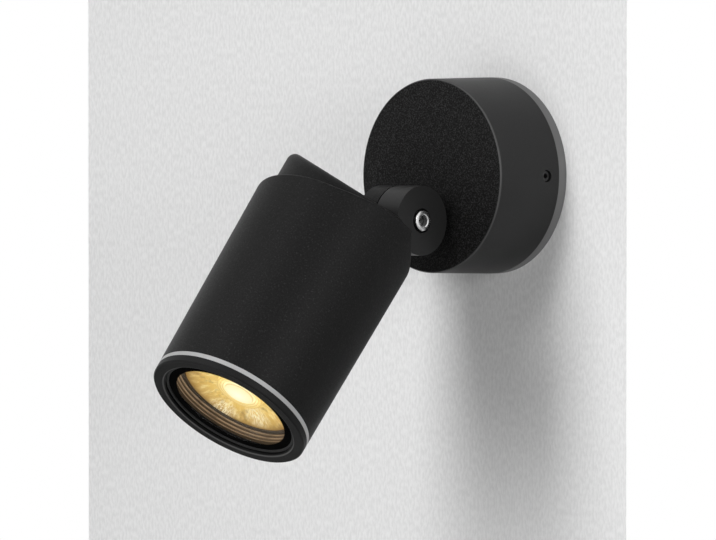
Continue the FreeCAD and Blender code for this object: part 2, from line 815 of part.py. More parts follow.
def silicone_ring():
    outer = head_radius_at(bezel_height)
    return turned([
        (bezel_spigot_radius() + thread_gap, bezel_height),
        (outer, bezel_height),
        (head_radius_at(sleeve_front), sleeve_front),
        (bezel_spigot_radius() + thread_gap, sleeve_front),
    ])


def glass_gasket():
    return ring(glass_radius, bezel_lip_radius - 1, bezel_lip, glass_front)


def front_glass():
    return Part.makeCylinder(glass_radius, glass_thickness, V(0, 0, glass_front))


def baffle_ring():
    """Ribbed ring behind the glass that keeps stray light in."""
    outer = glass_radius
    outline = [(outer, bezel_spigot_reach), (outer, glass_rear)]
    height = glass_rear
    for _ in range(baffle_rib_count):
        outline.append((baffle_inner_radius, height))
        outline.append((baffle_inner_radius + baffle_rib_height, height + baffle_rib_pitch * 0.5))
        height += baffle_rib_pitch
    outline.append((baffle_inner_radius, height))
    outline.append((baffle_inner_radius, bezel_spigot_reach))
    return turned(outline)


# --- build -----------------------------------------------------------------------------------------------
def build():
    os.makedirs("parts", exist_ok=True)
    canopy_parts = {
        "wall_gasket": wall_gasket,
        "canopy": canopy,
        "wall_bracket": wall_bracket,
        "canopy_side_screws": side_screws,
        "terminal_block": terminal_block,
        "terminal_screws": terminal_screws,
        "supply_leads": supply_leads,
        "earth_screw": earth_screw,
        "stem_washer": stem_washer,
        "stop_plate": stop_plate,
        "stem_nut": stem_nut,
        "swivel_seal": swivel_seal,
        "stem_leads": stem_leads,
    }
    knuckle_parts = {
        "swivel_arm": swivel_arm,
        "pivot_bolt": pivot_bolt,
        "hinge_washer": hinge_washer,
        "hinge_seal": hinge_seal,
        "spring_washer": spring_washer,
        "pivot_nut": pivot_nut,
    }
    head_parts = {
        "head_sleeve": head_sleeve,
        "rear_housing": rear_housing,
        "rear_seal": rear_seal,
        "housing_screws": housing_screws,
        "holder_strap": holder_strap,
        "strap_screws": strap_screws,
        "lampholder": lampholder,
        "lamp_body": lamp_body,
        "lamp_optic": lamp_optic,
        "lamp_pins": lamp_pins,
        "head_leads": head_leads,
        "bezel_ring": bezel_ring,
        "silicone_ring": silicone_ring,
        "glass_gasket": glass_gasket,
        "front_glass": front_glass,
        "baffle_ring": baffle_ring,
    }
    for name, make in canopy_parts.items():
        save(in_canopy(make()), name)
    for name, make in knuckle_parts.items():
        save(make(), name)
    for name, make in head_parts.items():
        save(in_head(make()), name)


build()
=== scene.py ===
import math
import bpy
from mathutils import Matrix, Vector


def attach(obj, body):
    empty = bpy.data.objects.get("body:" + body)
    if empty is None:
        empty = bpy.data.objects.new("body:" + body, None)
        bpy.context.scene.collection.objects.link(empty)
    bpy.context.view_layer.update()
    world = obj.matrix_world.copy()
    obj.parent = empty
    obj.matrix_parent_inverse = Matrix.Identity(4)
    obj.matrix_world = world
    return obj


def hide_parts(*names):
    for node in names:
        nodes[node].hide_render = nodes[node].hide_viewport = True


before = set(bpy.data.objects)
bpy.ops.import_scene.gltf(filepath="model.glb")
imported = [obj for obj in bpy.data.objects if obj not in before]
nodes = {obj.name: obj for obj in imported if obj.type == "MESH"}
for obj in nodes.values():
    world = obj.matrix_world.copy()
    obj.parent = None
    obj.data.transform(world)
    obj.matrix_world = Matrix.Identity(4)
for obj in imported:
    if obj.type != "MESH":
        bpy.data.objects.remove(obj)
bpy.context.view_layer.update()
print("frame loaded:", len(nodes), "nodes")

mm = 0.001
headTilt = math.radians(39.16)  # the head hangs this far off the wall's plane
headBack = Vector((0, math.sin(headTilt), math.cos(headTilt)))  # along the head, front to rear
headDown = Vector((0, math.cos(headTilt), -math.sin(headTilt)))  # across the head, down and to the wall
pivotPoint = Vector((0, -53.2, -17.5)) * mm
pivotFromFront = Vector((0, 27.2, 116.1))  # the knuckle's axis in the head's own axes, in millimetres
headTurn = Matrix((Vector((1, 0, 0)), headDown, headBack)).transposed()
headPlace = Matrix.Translation(pivotPoint - headTurn @ (pivotFromFront * mm)) @ headTurn.to_4x4()
boltPlace = Matrix.Translation(pivotPoint) @ Matrix.Rotation(math.radians(90), 4, "Y")  # Z along the bolt


class Wire:
    # one shader socket that can be added, multiplied and so on
    def __init__(self, finish, socket):
        self.finish = finish
        self.socket = socket

    def sum(self, operation, first, second=0.0):
        return self.finish.add("ShaderNodeMath", {"operation": operation}, {0: first, 1: second})

    def __add__(self, other):
        return self.sum("ADD", self, other)

    __radd__ = __add__

    def __sub__(self, other):
        return self.sum("SUBTRACT", self, other)

    def __rsub__(self, other):
        return self.sum("SUBTRACT", other, self)

    def __mul__(self, other):
        return self.sum("MULTIPLY", self, other)

    __rmul__ = __mul__

    def __truediv__(self, other):
        return self.sum("DIVIDE", self, other)

    def __rtruediv__(self, other):
        return self.sum("DIVIDE", other, self)

    def __pow__(self, other):
        return self.sum("POWER", self, other)

    def output(self, name):
        return Wire(self.finish, self.socket.node.outputs[name])


class Finish:
    # the node tree of a material or of the world
    def __init__(self, owner):
        owner.use_nodes = True
        self.owner = owner
        self.tree = owner.node_tree
        self.tree.nodes.clear()

    def add(self, kind, settings=None, inputs=None):
        node = self.tree.nodes.new(kind)
        for key, value in (settings or {}).items():
            setattr(node, key, value)
        for key, value in (inputs or {}).items():
            if isinstance(value, Wire):
                self.tree.links.new(value.socket, node.inputs[key])
            else:
                node.inputs[key].default_value = value
        return Wire(self, node.outputs[0]) if node.outputs else node

    def place(self):
        return self.add("ShaderNodeTexCoord").output("Object")

    def alongHead(self):
        # object coordinates turned into the head's own axes, in millimetres
        back = headPlace.inverted()
        turned = self.add("ShaderNodeMapping", {"vector_type": "POINT"}, {
            "Vector": self.place(), "Rotation": back.to_euler(), "Location": back.to_translation()})
        parts = self.add("ShaderNodeSeparateXYZ", None, {0: turned})
        return [parts.output(axis) / mm for axis in ("X", "Y", "Z")]

    def vector(self, x, y, z):
        return self.add("ShaderNodeCombineXYZ", None, {0: x, 1: y, 2: z})

    def noise(self, scale, detail=2.0, place=None, roughness=0.5):
        return self.add("ShaderNodeTexNoise", None, {
            "Vector": place or self.place(), "Scale": scale, "Detail": detail, "Roughness": roughness})

    def stretched(self, scale, stretch, detail=3.0):
        # noise whose grains are longer along some axes
        place = self.add("ShaderNodeMapping", {"vector_type": "POINT"}, {"Vector": self.place(), "Scale": stretch})
        return self.noise(scale, detail, place)

    def mixColour(self, share, low, high):
        return self.add("ShaderNodeMix", {"data_type": "RGBA"}, {
            0: share, 6: colour(low), 7: colour(high)}).output(2)

    def ramp(self, share, stops):
        wire = self.add("ShaderNodeValToRGB", None, {0: share})
        elements = wire.socket.node.color_ramp.elements
        while len(elements) < len(stops):
            elements.new(1.0)
        for element, (place, value) in zip(elements, stops):
            element.position = place
            element.color = colour(value)
        return wire

    def step(self, value, start, end):
        # 0 below start, 1 above end
        return self.add("ShaderNodeMapRange", {"clamp": True}, {
            "Value": value, "From Min": start, "From Max": end, "To Min": 0.0, "To Max": 1.0})

    def bump(self, height, distance):
        return self.add("ShaderNodeBump", None, {"Height": height, "Distance": distance})

    def skin(self, inputs):
        return self.add("ShaderNodeBsdfPrincipled", None, inputs)

    def finished(self, surface):
        self.add("ShaderNodeOutputMaterial", None, {"Surface": surface})
        return self.owner


def newFinish(name):
    return Finish(bpy.data.materials.new(name))


def colour(value):
    if isinstance(value, Wire):
        return value
    if isinstance(value, (int, float)):
        return (value, value, value, 1.0)
    return tuple(value) + (1.0,)


# black powder coats: sandy on the canopy's front, finer elsewhere
sandyLook = {
    "grainScale": 1900.0, "grainLow": 0.34, "grainHigh": 0.66, "cloudScale": 60.0, "dark": 0.001, "light": 0.00745,
    "speckLow": 0.5, "speckHigh": 0.74, "speck": 0.045, "roughness": 0.66, "grainGloss": 0.1, "relief": 0.04,
    "specular": 0.08,
}
barrelLook = {
    "grainScale": 1500.0, "grainLow": 0.34, "grainHigh": 0.7, "cloudScale": 45.0, "dark": 0.002, "light": 0.00843,
    "speckLow": 0.6, "speckHigh": 0.76, "speck": 0.03, "roughness": 0.56, "grainGloss": 0.08, "relief": 0.02,
    "specular": 0.116,
}
satinLook = {
    "grainScale": 2200.0, "grainLow": 0.3, "grainHigh": 0.75, "cloudScale": 45.0, "dark": 0.01, "light": 0.0152,
    "speckLow": 0.7, "speckHigh": 0.9, "speck": 0.03, "roughness": 0.5, "grainGloss": 0.05, "relief": 0.01,
    "specular": 0.254,
}
bezelLook = {
    "grainScale": 2200.0, "grainLow": 0.3, "grainHigh": 0.75, "cloudScale": 45.0, "dark": 0.006, "light": 0.01,
    "speckLow": 0.7, "speckHigh": 0.9, "speck": 0.02, "roughness": 0.55, "grainGloss": 0.05, "relief": 0.01,
    "specular": 0.12,
}


def coatParts(finish, look):
    # colour, roughness and relief of one powder coat
    grain = finish.noise(look["grainScale"], 3.0, roughness=0.7)
    share = finish.step(grain, look["grainLow"], look["grainHigh"])
    cloud = finish.noise(look["cloudScale"])
    shade = finish.mixColour(share * 0.8 + cloud * 0.2, look["dark"], look["light"])
    shade = finish.mixColour(finish.step(grain, look["speckLow"], look["speckHigh"]), shade, look["speck"])
    rough = look["roughness"] + (cloud - 0.5) * 0.08 - share * look["grainGloss"]
    return shade, rough, grain * look["relief"]


def coatSkin(finish, look, paintedLight=None, paintedLightColour=0.1):
    # one powder coat, with painted light mixed into its colour where paintedLight is given: a painted highlight
    # along an edge, or painted shade
    shade, rough, relief = coatParts(finish, look)
    if paintedLight:
        # painted highlight or painted shade: a colour mixed in by the mask, not made by the lamps
        shade = finish.mixColour(paintedLight, shade, paintedLightColour)
    return finish.skin({"Base Color": shade, "Roughness": rough, "Normal": finish.bump(relief, mm),
                        "Specular IOR Level": look["specular"]})


def powderCoat(name, look):
    finish = newFinish(name)
    return finish.finished(coatSkin(finish, look))


def canopyCoat():
    # sandy on the front face, finer round the side, with a thin painted highlight along the front edge
    look = {"front": 36.62, "edge": 36.05, "blend": 0.06, "paintedEdgeHighlightColour": 0.07, "paintedEdgeHighlightShare": 0.7}
    finish = newFinish("canopyCoat")
    depth = finish.add("ShaderNodeSeparateXYZ", None, {0: finish.place()}).output("Y") / -mm
    front = finish.step(depth, look["front"] - look["blend"], look["front"] + look["blend"])
    # edge: mask of the painted highlight, a lighter band just behind the front face
    edge = finish.step(depth, look["edge"], look["edge"] + look["blend"]) * look["paintedEdgeHighlightShare"]
    sandy = coatSkin(finish, sandyLook)
    satin = coatSkin(finish, satinLook, edge, look["paintedEdgeHighlightColour"])
    return finish.finished(finish.add("ShaderNodeMixShader", None, {0: front, 1: satin, 2: sandy}))


def bezelCoat():
    # satin, with a thin painted highlight on the inner edge and painted shade inside it
    look = {"edge": 28.05, "outer": 28.5, "blend": 0.1, "depth": 0.9, "paintedLightColour": 0.12, "paintedHighlightShare": 0.6,
            "paintedShadeColour": 0.0005}
    finish = newFinish("bezelCoat")
    x, y, z = finish.alongHead()
    across = (x ** 2.0 + y ** 2.0) ** 0.5
    # inside: mask of the painted shade on the lip's inner wall
    inside = finish.step(across, look["edge"] + look["blend"], look["edge"] - look["blend"])
    paintedHighlightBand = finish.step(across, look["outer"] + look["blend"], look["outer"] - look["blend"])
    front = finish.step(z, look["depth"], look["depth"] - look["blend"])
    # painted highlight: a thin lighter ring on the front face at the inner edge
    paintedLight = paintedHighlightBand * (1 - inside) * front * look["paintedHighlightShare"]
    paintedLightColour = finish.mixColour(inside, look["paintedLightColour"], look["paintedShadeColour"])
    return finish.finished(coatSkin(finish, bezelLook, paintedLight + inside, paintedLightColour))


def silicone(name, look):
    finish = newFinish(name)
    cloud = finish.noise(look["cloudScale"], 3.0)
    return finish.finished(finish.skin({
        "Base Color": finish.mixColour(cloud, look["dark"], look["light"]),
        "Roughness": 0.5 + (cloud - 0.5) * 0.15, "Normal": finish.bump(finish.noise(900.0), 0.01 * mm),
        "Subsurface Weight": look["glow"], "Subsurface Scale": 0.4 * mm}))


def metal(name, look):
    finish = newFinish(name)
    cloud = finish.noise(look["cloudScale"], 3.0)
    scratches = finish.noise(look["scratchScale"])
    return finish.finished(finish.skin({
        "Base Color": finish.mixColour(cloud, look["dark"], look["light"]), "Metallic": 1.0,
        "Roughness": look["roughness"] + (scratches - 0.5) * 0.25,
        "Normal": finish.bump(scratches, look["relief"] * mm)}))


def moulded(name, look):
    finish = newFinish(name)
    cloud = finish.noise(look["cloudScale"])
    grain = finish.noise(look["grainScale"])
    return finish.finished(finish.skin({
        "Base Color": finish.mixColour(cloud, look["dark"], look["light"]),
        "Roughness": look["roughness"] + (grain - 0.5) * 0.1,
        "Normal": finish.bump(grain, look["relief"] * mm)}))


finishes = {
    "sandyCoat": powderCoat("sandyCoat", barrelLook),
    "satinCoat": powderCoat("satinCoat", satinLook),
    "canopyCoat": canopyCoat(),
    "bezelCoat": bezelCoat(),
    "greySilicone": silicone("greySilicone", {"cloudScale": 80.0, "dark": 0.11, "light": 0.14, "glow": 0.0}),
    "whiteSilicone": silicone("whiteSilicone", {"cloudScale": 120.0, "dark": 0.36, "light": 0.46, "glow": 0.05}),
    "stainless": metal("stainless", {"cloudScale": 300.0, "scratchScale": 1500.0, "dark": (0.62, 0.62, 0.6),
                                     "light": (0.78, 0.78, 0.76), "roughness": 0.2, "relief": 0.01}),
    "platedSteel": metal("platedSteel", {"cloudScale": 120.0, "scratchScale": 700.0, "dark": (0.5, 0.5, 0.48),
                                         "light": (0.66, 0.66, 0.65), "roughness": 0.38, "relief": 0.02}),
    "brass": metal("brass", {"cloudScale": 200.0, "scratchScale": 900.0, "dark": (0.7, 0.5, 0.2),
                             "light": (0.82, 0.62, 0.3), "roughness": 0.3, "relief": 0.01}),
    "whiteNylon": moulded("whiteNylon", {"cloudScale": 60.0, "grainScale": 900.0, "dark": 0.68, "light": 0.76,
                                         "roughness": 0.5, "relief": 0.01}),
    "blackPlastic": moulded("blackPlastic", {"cloudScale": 60.0, "grainScale": 1200.0, "dark": 0.008,
                                             "light": 0.013, "roughness": 0.45, "relief": 0.02}),
    "warmBlack": moulded("warmBlack", {"cloudScale": 90.0, "grainScale": 1100.0, "dark": (0.24, 0.145, 0.06),
                                       "light": (0.36, 0.23, 0.1), "roughness": 0.36, "relief": 0.02}),
    "blackRubber": moulded("blackRubber", {"cloudScale": 80.0, "grainScale": 1500.0, "dark": 0.01,
                                           "light": 0.018, "roughness": 0.7, "relief": 0.02}),
    "leadSleeve": moulded("leadSleeve", {"cloudScale": 100.0, "grainScale": 700.0, "dark": (0.4, 0.3, 0.2),
                                         "light": (0.5, 0.4, 0.28), "roughness": 0.6, "relief": 0.03}),
    "ceramic": moulded("ceramic", {"cloudScale": 80.0, "grainScale": 1400.0, "dark": (0.7, 0.67, 0.6),
                                   "light": (0.8, 0.77, 0.7), "roughness": 0.75, "relief": 0.03}),
    "lampShell": moulded("lampShell", {"cloudScale": 50.0, "grainScale": 800.0, "dark": (0.1, 0.085, 0.07),
                                       "light": (0.13, 0.11, 0.09), "roughness": 0.35, "relief": 0.01}),
}
print("finishes made")

nodeFinishes = {
    "wall_gasket": "greySilicone", "canopy": "canopyCoat", "wall_bracket": "platedSteel",
    "canopy_side_screws": "blackPlastic", "terminal_block": "whiteNylon", "terminal_screws": "stainless",
    "supply_leads": "leadSleeve", "earth_screw": "brass", "stem_washer": "whiteNylon",
    "stop_plate": "platedSteel", "stem_nut": "platedSteel", "swivel_seal": "blackRubber",
    "stem_leads": "leadSleeve", "swivel_arm": "satinCoat", "pivot_bolt": "stainless",
    "hinge_washer": "whiteNylon", "hinge_seal": "blackRubber", "spring_washer": "stainless",
    "pivot_nut": "stainless", "head_sleeve": "sandyCoat", "rear_housing": "sandyCoat",
    "rear_seal": "blackRubber", "housing_screws": "stainless", "holder_strap": "platedSteel",
    "strap_screws": "stainless", "lampholder": "ceramic", "lamp_body": "lampShell",
    "lamp_optic": "lampShell", "lamp_pins": "platedSteel", "head_leads": "leadSleeve",
    "bezel_ring": "bezelCoat", "silicone_ring": "whiteSilicone", "glass_gasket": "blackRubber",
    "front_glass": "blackPlastic", "baffle_ring": "warmBlack",
}
for nodeName, finishName in nodeFinishes.items():
    slots = nodes[nodeName].data.materials
    slots.clear()
    slots.append(finishes[finishName])
print("CAD nodes finished")


def clearSelection():
    if bpy.context.mode != "OBJECT":
        bpy.ops.object.mode_set(mode="OBJECT")
    bpy.ops.object.select_all(action="DESELECT")


def makeActive(piece):
    clearSelection()
    piece.select_set(True)
    bpy.context.view_layer.objects.active = piece


def applyModifier(piece, name):
    makeActive(piece)
    bpy.ops.object.modifier_apply(modifier=name)


def settle(piece, name, place, finish):
    # gives the piece its name and finish, and puts its place into its mesh
    piece.name = name
    piece.data.name = name
    piece.data.materials.clear()
    piece.data.materials.append(finish)
    piece.matrix_world = place @ piece.matrix_world
    makeActive(piece)
    bpy.ops.object.transform_apply(location=True, rotation=True, scale=True)
    bpy.ops.object.shade_smooth_by_angle(angle=math.radians(35))
    evenShade = piece.modifiers.new("evenShade", "WEIGHTED_NORMAL")
    evenShade.keep_sharp = True
    applyModifier(piece, "evenShade")
    return piece


def standIn(piece, node, body):
    # the piece takes the place of a CAD node
    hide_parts(node)
    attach(piece, body)


def turnedPiece(profile, sides):
    # a circle drawn out ring by ring along Z; the profile is (radius, height) in millimetres
    clearSelection()
    radius, height = profile[0]
    bpy.ops.mesh.primitive_circle_add(vertices=sides, radius=radius * mm, location=(0, 0, height * mm))
    piece = bpy.context.object
    bpy.ops.object.transform_apply(location=True)
    bpy.ops.object.mode_set(mode="EDIT")
    bpy.ops.mesh.select_all(action="SELECT")
    for nextRadius, nextHeight in profile[1:]:
        bpy.ops.mesh.extrude_region_move(TRANSFORM_OT_translate={"value": (0, 0, (nextHeight - height) * mm)})
        share = nextRadius / radius
        bpy.ops.transform.resize(value=(share, share, 1), center_override=(0, 0, 0))
        radius, height = nextRadius, nextHeight
    bpy.ops.mesh.select_all(action="SELECT")
    bpy.ops.mesh.remove_doubles(threshold=0.002 * mm)
    bpy.ops.mesh.normals_make_consistent(inside=False)
    bpy.ops.object.mode_set(mode="OBJECT")
    return piece


def rod(radius, start, end, sides=64):
    # a round bar between two points, in millimetres
    start, end = Vector(start), Vector(end)
    along = end - start
    clearSelection()
    bpy.ops.mesh.primitive_cylinder_add(
        vertices=sides, radius=radius * mm, depth=along.length * mm, location=(start + end) / 2 * mm,
        rotation=along.to_track_quat("Z", "Y").to_euler())
    bpy.ops.object.transform_apply(location=True, rotation=True)
    return bpy.context.object


def combine(piece, tool, operation):
    # cuts the tool out of the piece, or joins it on
    joined = piece.modifiers.new("joined", "BOOLEAN")
    joined.object = tool
    joined.operation = operation
    joined.solver = "EXACT"
    applyModifier(piece, "joined")
    bpy.data.objects.remove(tool)


def selectEdges(piece, wanted):
    # picks the edges whose two ends are both wanted, and stays in edit mode
    makeActive(piece)
    bpy.ops.object.mode_set(mode="EDIT")
    bpy.ops.mesh.select_mode(type="EDGE")
    bpy.ops.mesh.select_all(action="DESELECT")
    bpy.ops.object.mode_set(mode="OBJECT")
    points = piece.data.vertices
    for edge in piece.data.edges:
        edge.select = all(wanted(points[index].co / mm) for index in edge.vertices)
    bpy.ops.object.mode_set(mode="EDIT")


glassSizes = {
    "radius": 28.25, "front": 2.1, "rear": 5.1, "edge": 0.3, "clearRadius": 23.3, "borderBlend": 0.15,
    "glint": 0.02, "sides": 128,
}


def glassFinish():
    # clear, with a black border printed on the front face
    s = glassSizes
    finish = newFinish("borderedGlass")
    x, y, z = finish.alongHead()
    across = (x ** 2.0 + y ** 2.0) ** 0.5
    border = finish.step(across, s["clearRadius"] - s["borderBlend"], s["clearRadius"] + s["borderBlend"])
    border = border * finish.step(z, s["front"] + 0.5, s["front"] + 0.3)
    smudge = finish.noise(90.0, 3.0)
    black = finish.skin({"Base Color": finish.mixColour(smudge, 0.002, 0.005),
                         "Roughness": 0.3 + smudge * 0.1, "Specular IOR Level": 0.0})
    through = finish.add("ShaderNodeBsdfTransparent", None, {"Color": (0.97, 0.98, 0.97, 1.0)})
    shine = finish.add("ShaderNodeBsdfGlossy", None, {"Roughness": 0.02})
    clear = finish.add("ShaderNodeMixShader", None, {0: s["glint"], 1: through, 2: shine})
    return finish.finished(finish.add("ShaderNodeMixShader", None, {0: border, 1: clear, 2: black}))


def makeGlass():
    s = glassSizes
    profile = [
        (0.001, s["front"]), (s["clearRadius"], s["front"]), (s["radius"] - s["edge"], s["front"]),
        (s["radius"], s["front"] + s["edge"]), (s["radius"], s["rear"] - s["edge"]),
        (s["radius"] - s["edge"], s["rear"]), (0.001, s["rear"]),
    ]
    glass = settle(turnedPiece(profile, s["sides"]), "frontGlass", headPlace, glassFinish())
    standIn(glass, "front_glass", "bezel")


makeGlass()
print("front glass made")


lampSizes = {
    "face": 8.9, "outer": 23.2, "bowl": 21.6, "core": 9.6, "domeRadius": 6.2, "domeRise": 1.1, "rest": 0.3,
    "bowlDepth": 2.6, "depth": 2.75, "ringCount": 3, "ringHeight": 0.6, "sides": 144,
}
lampLook = {
    "glow": 1.0, "ringPitch": 1.15, "streakCount": 5.0, "glints": [(-17.5, 10.5), (-3.6, 16.0)], "glintSize": 6.5,
    "tones": [(0.0, (1.0, 0.97, 0.78)), (0.28, (1.0, 0.89, 0.5)), (0.36, (0.871, 0.68, 0.262)),
              (0.45, (0.752, 0.515, 0.141)), (0.65, (0.701, 0.445, 0.091)), (0.85, (0.515, 0.305, 0.07)),
              (1.0, (0.188, 0.091, 0.021))],
    "streak": (0.956, 0.806, 0.402), "shadow": (0.19, 0.09, 0.017), "ring": (0.58, 0.35, 0.08),
    "glint": (1.0, 0.93, 0.7),
}


def lampFinish():
    # warm light, white in the middle, golden and streaked round it
    look = lampLook
    finish = newFinish("litLamp")
    x, y, z = finish.alongHead()
    across = (x ** 2.0 + y ** 2.0) ** 0.5
    toX, toY = x / across, y / across
    few, many = look["streakCount"], look["streakCount"] * 4
    streaks = finish.noise(2.0, 3.0, finish.vector(toX * few, toY * few, across * 0.12), 0.6)
    fine = finish.noise(2.0, 2.0, finish.vector(toX * many, toY * many, across * 0.3))
    blotches = finish.noise(220.0, 3.0, None, 0.6)
    shade = finish.ramp(across / lampSizes["outer"], look["tones"])
    bowl = finish.step(across, 9.0, 12.0)
    rim = finish.step(across, 22.5, 19.5)
    shade = finish.mixColour(finish.step(streaks, 0.48, 0.68) * bowl * rim * 0.6, shade, look["streak"])
    shade = finish.mixColour(finish.step(blotches, 0.46, 0.32) * bowl * 0.6, shade, look["shadow"])
    wave = finish.add("ShaderNodeMath", {"operation": "SINE"}, {0: across * (2 * math.pi / look["ringPitch"])})
    rings = finish.step(wave, 0.2, 0.9) * finish.step(across, 5.4, 6.2) * finish.step(across, 13.0, 9.5)
    shade = finish.mixColour(rings * 0.6, shade, look["ring"])
    for glintX, glintY in look["glints"]:
        away = ((x - glintX) ** 2.0 + (y - glintY) ** 2.0) ** 0.5
        glint = finish.step(away, look["glintSize"], 1.0) * finish.step(fine, 0.42, 0.6)
        shade = finish.mixColour(glint * 0.85, shade, look["glint"])
    return finish.finished(finish.skin({
        "Base Color": finish.mixColour(streaks, (0.2, 0.14, 0.06), (0.3, 0.22, 0.1)), "Roughness": 0.3,
        "Emission Color": shade, "Emission Strength": look["glow"]}))


def makeLampFace():
    s = lampSizes
    middle = s["face"] + s["rest"]
    profile = [(0.001, middle - s["domeRise"])]
    for turn in range(1, 7):
        angle = math.radians(15 * turn)
        profile.append((s["domeRadius"] * math.sin(angle), middle - s["domeRise"] * math.cos(angle)))
    ringWidth = (s["core"] - s["domeRadius"]) / s["ringCount"]
    for ring in range(s["ringCount"]):
        inner = s["domeRadius"] + ring * ringWidth
        profile.append((inner + ringWidth * 0.3, middle + s["ringHeight"]))
        profile.append((inner + ringWidth, middle))
    bowlStart = s["core"] + s["rest"]
    for share in (0.0, 0.25, 0.5, 0.75, 1.0):
        profile.append((bowlStart + (s["bowl"] - bowlStart) * share,
                        s["face"] + s["bowlDepth"] * (1 - share ** 1.6)))
    rear = s["face"] + s["depth"]
    profile += [(s["outer"], s["face"]), (s["outer"], rear), (0.001, rear)]
    lampFace = settle(turnedPiece(profile, s["sides"]), "lampFace", headPlace, lampFinish())
    standIn(lampFace, "lamp_optic", "head")


makeLampFace()
print("lamp face made")


baffleSizes = {
    "outer": 28.3, "inner": 25.5, "front": 5.3, "rear": 12.0, "ribCount": 4, "ribPitch": 1.6, "ribHeight": 0.9,
    "sides": 144,
}


def ribFinish():
    # dark brown plastic; the lamp's light on its rib crests is painted as glow, with a faint painted glow between
    # them
    look = {"crest": 25.8, "blend": 0.2, "paintedCrestGlow": (0.36, 0.24, 0.14), "paintedValleyGlow": (0.03, 0.019, 0.01)}
    finish = newFinish("ribbedPlastic")
    x, y, z = finish.alongHead()
    across = (x ** 2.0 + y ** 2.0) ** 0.5
    crest = finish.step(across, look["crest"] + look["blend"], look["crest"] - look["blend"])
    # patches: uneven strength of the painted glow on the crests
    patches = finish.step(finish.noise(160.0), 0.35, 0.65) * 0.6 + 0.4
    # painted light: the emission stands in for the lamp's light falling on the ribs
    return finish.finished(finish.skin({
        "Base Color": finish.mixColour(finish.noise(300.0), (0.08, 0.05, 0.03), (0.12, 0.075, 0.04)),
        "Roughness": 0.4, "Emission Color": finish.mixColour(crest * patches, look["paintedValleyGlow"], look["paintedCrestGlow"]),
        "Emission Strength": 1.0}))


def makeBaffle():
    # ribbed ring behind the glass
    s = baffleSizes
    profile = [(s["outer"], s["rear"]), (s["outer"], s["front"])]
    height = s["front"]
    for _ in range(s["ribCount"]):
        profile.append((s["inner"], height))
        profile.append((s["inner"] + s["ribHeight"], height + s["ribPitch"] * 0.5))
        height += s["ribPitch"]
    profile += [(s["inner"], height), (s["inner"], s["rear"]), (s["outer"], s["rear"])]
    baffle = settle(turnedPiece(profile, s["sides"]), "baffleRing", headPlace, ribFinish())
    standIn(baffle, "baffle_ring", "bezel")


makeBaffle()
print("baffle made")


boltSizes = {
    "headRadius": 4.15, "headFoot": 8.8, "headTop": 12.3, "shankRadius": 2.0, "tip": -10.8, "edge": 0.5,
    "socketFlats": 4.0, "socketDepth": 1.9, "mouthRadius": 2.75, "mouthDepth": 0.3, "sides": 64,
}


def boltFinish():
    # bright stainless, with painted shade at the bottom of the key hole
    s = boltSizes
    finish = newFinish("boltSteel")
    along = finish.add("ShaderNodeSeparateXYZ", None, {0: finish.place()}).output("X") / mm
    scratches = finish.noise(1500.0)
    shade = finish.mixColour(finish.noise(300.0, 3.0), 0.66, 0.82)
    floor = s["headTop"] - s["mouthDepth"] - s["socketDepth"]
    # painted shade: base colour darkened below the key hole's floor
    paintedSocketShade = finish.step(along, floor + 0.5, floor + 0.1) * finish.step(along, s["headFoot"], s["headFoot"] + 0.1)
    return finish.finished(finish.skin({
        "Base Color": finish.mixColour(paintedSocketShade, shade, 0.06), "Metallic": 1.0,
        "Roughness": 0.16 + scratches * 0.14, "Normal": finish.bump(scratches, 0.02 * mm)}))


def makeBolt():
    s = boltSizes
    floor = s["headTop"] - s["mouthDepth"]
    profile = [
        (0.001, floor), (s["mouthRadius"] - s["mouthDepth"], floor), (s["mouthRadius"], s["headTop"]),
        (s["headRadius"] - s["edge"], s["headTop"]),
        (s["headRadius"] - s["edge"] * 0.3, s["headTop"] - s["edge"] * 0.3),
        (s["headRadius"], s["headTop"] - s["edge"]), (s["headRadius"], s["headFoot"]),
        (s["shankRadius"], s["headFoot"]), (s["shankRadius"], s["tip"]), (0.001, s["tip"]),
    ]
    bolt = turnedPiece(profile, s["sides"])
    corner = s["socketFlats"] / math.sqrt(3)
    keyHole = rod(corner, (0, 0, floor - s["socketDepth"]), (0, 0, floor + s["socketDepth"]), 6)
    combine(bolt, keyHole, "DIFFERENCE")
    settle(bolt, "pivotBolt", boltPlace, boltFinish())
    standIn(bolt, "pivot_bolt", "arm")


makeBolt()
print("pivot bolt made")


housingSizes = {
    "radius": 29.6, "front": 87.0, "middle": 109.5, "blank": 127.0, "edge": 3.6, "edgeSteps": 7,
    "facetFall": 0.408, "facetRise": 0.266, "scoop": 27.2, "lugRadius": 13.8, "lugLeft": -11.4,
    "lugRight": -1.8, "bore": 2.06, "nutPocket": 4.9, "nutDepth": 5.2, "ductInner": 6.2, "ductOuter": 11.8,
    "ductDepth": 3.4, "cavity": 13.0, "cavityX": -3.0, "cavityY": -9.0, "cavityRear": 98.0,
    "screwRing": 27.0, "screwHole": 1.52, "screwReach": 6.0, "screwAngles": (-90, 15, 165), "reach": 65.0,
    "sides": 192,
}


